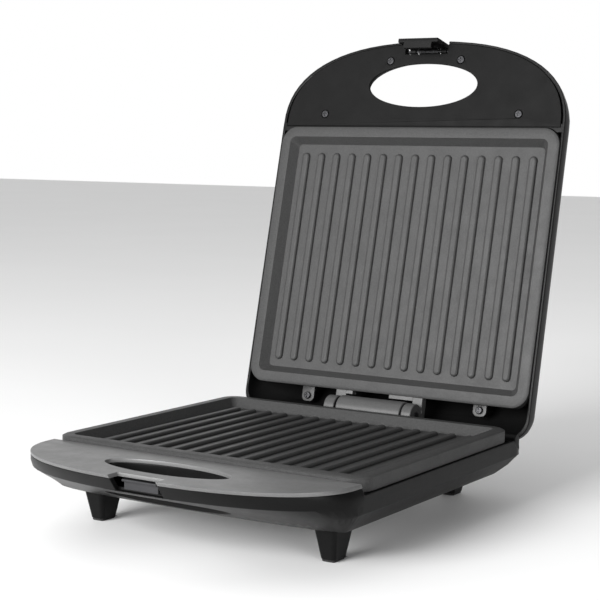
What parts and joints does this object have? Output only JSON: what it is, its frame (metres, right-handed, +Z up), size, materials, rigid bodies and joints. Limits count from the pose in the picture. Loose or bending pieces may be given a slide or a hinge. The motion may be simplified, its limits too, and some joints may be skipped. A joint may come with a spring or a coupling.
{
  "type": "panini press",
  "caption": "Table-top panini press: ribbed hot plate in a footed base, second plate in a hinged lid, both with slotted handles.",
  "frame": {"origin": "on the table, under the middle of the press's overall box as it stands open", "axes": "+X along the hinge to the right, -Y towards the handles, +Z up"},
  "size_m": [0.2248, 0.3505, 0.3066],
  "materials": {
    "housing_plastic": "satin black moulded",
    "terminal_plastic": "matt",
    "bush_plastic": "matt",
    "grey_cover": "fine satin",
    "charcoal_cover": "fine matt",
    "coated_plate": "non-stick coating, fine grain",
    "coated_hinge": "non-stick coating, satin",
    "tab_steel": "dull",
    "heater_steel": "oxidised",
    "sheet_steel": "zinc plated",
    "reflector_sheet": "mill",
    "fuse_glass_sleeve": "woven sleeve",
    "pin_steel": "turned",
    "spring_steel": "drawn",
    "clip_plastic": "matt",
    "pad_rubber": "matt",
    "screw_steel": "black zinc",
    "red_lens": "clear coloured",
    "green_lens": "clear coloured",
    "lamp_glass": "clear"
  },
  "bodies": {
    "base": {"base_housing": "housing_plastic", "base_handle_cover": "grey_cover", "latch_catch": "sheet_steel", "lower_grill_plate": "coated_plate", "lower_heating_element": "heater_steel", "lower_element_clamps": "sheet_steel", "lower_heat_reflector": "reflector_sheet", "thermostat": "sheet_steel", "thermal_fuse": "fuse_glass_sleeve", "terminal_block": "terminal_plastic", "cord_inlet_bush": "bush_plastic", "hinge_barrel": "coated_hinge", "hinge_bracket": "sheet_steel", "centre_hinge_pin": "pin_steel", "foot_pads": "pad_rubber", "foot_front_left": "housing_plastic", "foot_front_right": "housing_plastic", "foot_rear_left": "housing_plastic", "foot_rear_right": "housing_plastic", "base_screws": "screw_steel"},
    "lid": {"lid_housing": "housing_plastic", "lid_handle_cover": "charcoal_cover", "lid_cover_screws": "screw_steel", "upper_grill_plate": "coated_plate", "upper_plate_tab_left": "tab_steel", "upper_plate_tab_right": "tab_steel", "upper_tab_screws": "screw_steel", "hinge_ear_left": "coated_hinge", "hinge_ear_right": "coated_hinge", "upper_heating_element": "heater_steel", "upper_element_clamps": "sheet_steel", "upper_heat_reflector": "reflector_sheet", "indicator_lens_power": "red_lens", "indicator_lens_ready": "green_lens", "indicator_lamps": "lamp_glass", "latch_pin": "pin_steel", "latch_spring": "spring_steel"},
    "latch": {"latch_clip": "clip_plastic"}
  },
  "joints": [
    {"name": "lid_hinge", "type": "hinge", "parent": "base", "child": "lid", "pos_m": [0, 0.08974, 0.04907], "axis": [1, 0, 0], "range_deg": [0, 103.44]},
    {"name": "latch_pivot", "type": "hinge", "parent": "lid", "child": "latch", "pos_m": [0, 0.16208, 0.29787], "axis": [-1, 0, 0], "range_deg": [0, 14], "stiffness_Nm_per_rad": 0.02}
  ]
}
